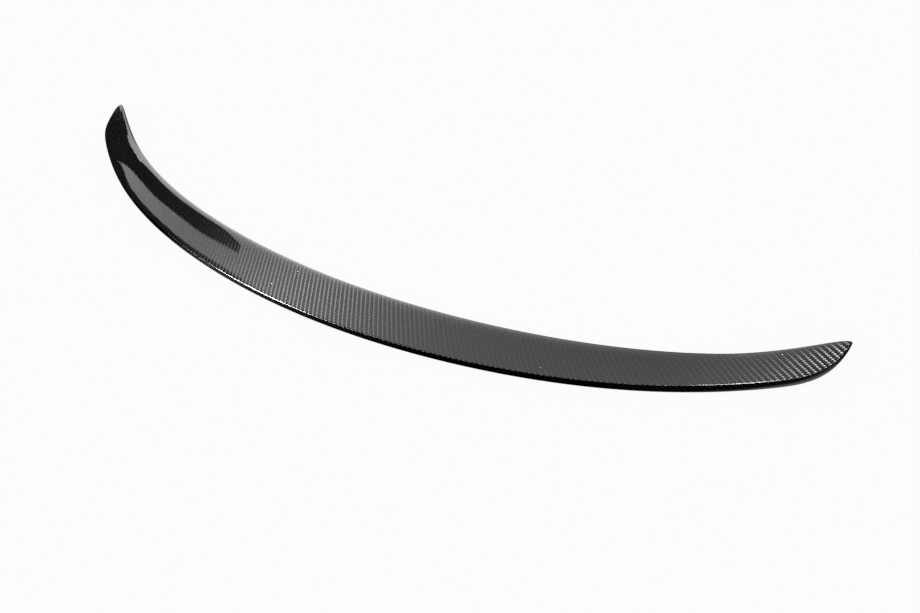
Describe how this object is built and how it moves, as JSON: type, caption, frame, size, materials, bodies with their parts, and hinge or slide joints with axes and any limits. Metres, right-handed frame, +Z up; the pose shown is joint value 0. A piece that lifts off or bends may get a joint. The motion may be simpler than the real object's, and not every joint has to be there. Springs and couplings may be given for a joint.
{
  "type": "car rear spoiler",
  "caption": "Crescent lip spoiler for a boot lid: one glossy carbon-fibre moulding with a ramp, a sharp trailing edge, rounded pointed ends and an open recess underneath.",
  "frame": {"origin": "bottom centre of the bounding box, on the surface that the spoiler lies on", "axes": "+X along the span to the car's right, +Y to the front of the car, +Z up as it lies at rest on its rear foot"},
  "size_m": [1.186, 0.2056, 0.0181],
  "materials": {
    "carbon_laminate": "2x2 twill carbon fibre in epoxy under a polished clear coat"
  },
  "bodies": {
    "root": {"lip_spoiler": "carbon_laminate"}
  },
  "joints": []
}
